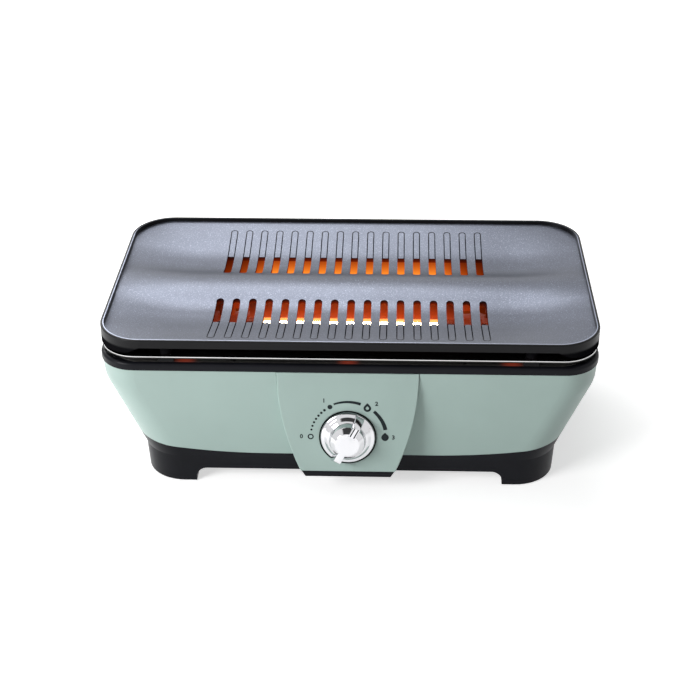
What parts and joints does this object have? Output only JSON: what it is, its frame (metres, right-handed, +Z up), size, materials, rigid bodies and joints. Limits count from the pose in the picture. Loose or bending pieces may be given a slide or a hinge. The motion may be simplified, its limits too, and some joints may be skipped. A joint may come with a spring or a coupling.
{
  "type": "electric table grill",
  "caption": "Long table-top grill with a lift-off wave-shaped slotted plate over a steel drip tray, infrared tube heaters and a front heat knob.",
  "frame": {"origin": "on the table, in the middle of the footprint's bounding box, knob included", "axes": "+Z up, +X to the right of a person facing the knob, -Y towards that person"},
  "size_m": [0.525, 0.3322, 0.181],
  "materials": {
    "plate_coat": "satin grey-blue non-stick coat on cast aluminium",
    "tray_steel": "pressed stainless sheet",
    "black_rubber": "matt silicone rubber",
    "black_plastic": "satin black moulding",
    "green_plastic": "satin grey-green moulding",
    "dark_sheet": "grey painted sheet steel",
    "screw_steel": "zinc-plated steel",
    "liner_steel": "aluminised sheet steel",
    "reflector_metal": "polished aluminium",
    "quartz": "clear quartz glass",
    "filament": "graphite strip, glowing orange",
    "ceramic": "white steatite ceramic",
    "lead_sleeve": "white heat-proof sleeve",
    "cutout_plastic": "dark phenolic moulding",
    "fuse_metal": "nickelled brass",
    "dial_black": "gloss black",
    "knob_chrome": "bright chrome",
    "inlet_plastic": "black moulding"
  },
  "bodies": {
    "body": {"tray_pads": "black_rubber", "top_frame": "black_plastic", "body_shell": "green_plastic", "base_frame": "black_plastic", "rubber_feet": "black_rubber", "floor_plate": "dark_sheet", "floor_screws": "screw_steel", "inner_liner": "liner_steel", "liner_screws": "screw_steel", "heater_stand": "liner_steel", "stand_screws": "screw_steel", "front_reflector": "reflector_metal", "rear_reflector": "reflector_metal", "front_quartz_tube": "quartz", "rear_quartz_tube": "quartz", "front_filament": "filament", "rear_filament": "filament", "tube_end_caps": "ceramic", "right_tube_bracket": "liner_steel", "left_tube_bracket": "liner_steel", "bracket_screws": "screw_steel", "heater_terminals": "ceramic", "heater_leads": "lead_sleeve", "thermal_cutout": "cutout_plastic", "thermal_fuse": "fuse_metal", "fuse_strap": "screw_steel", "control_panel": "green_plastic", "panel_foot_strip": "black_plastic", "panel_screws": "screw_steel", "dial_ring": "dial_black", "rotary_switch": "cutout_plastic", "switch_nut": "screw_steel", "power_inlet": "inlet_plastic", "inlet_pins": "fuse_metal", "inlet_screws": "screw_steel", "wire_bushes": "ceramic", "wiring": "lead_sleeve"},
    "plate": {"cooking_plate": "plate_coat"},
    "tray": {"drip_tray": "tray_steel"},
    "dial_knob": {"knob": "knob_chrome", "knob_core": "cutout_plastic", "knob_shaft": "screw_steel"}
  },
  "joints": [
    {"name": "plate_lift", "type": "slide", "parent": "body", "child": "plate", "axis": [0, 0, 1], "range_m": [0, 0.2]},
    {"name": "tray_lift", "type": "slide", "parent": "body", "child": "tray", "axis": [0, 0, 1], "range_m": [0, 0.14]},
    {"name": "knob_turn", "type": "hinge", "parent": "body", "child": "dial_knob", "pos_m": [0, -0.14186, 0.0725], "axis": [0, -0.9897, 0.1431], "range_deg": [-62, 118]}
  ],
  "couplings": [
    {"joint": "tray_lift", "follows": "plate_lift", "ratio": 0.7}
  ]
}
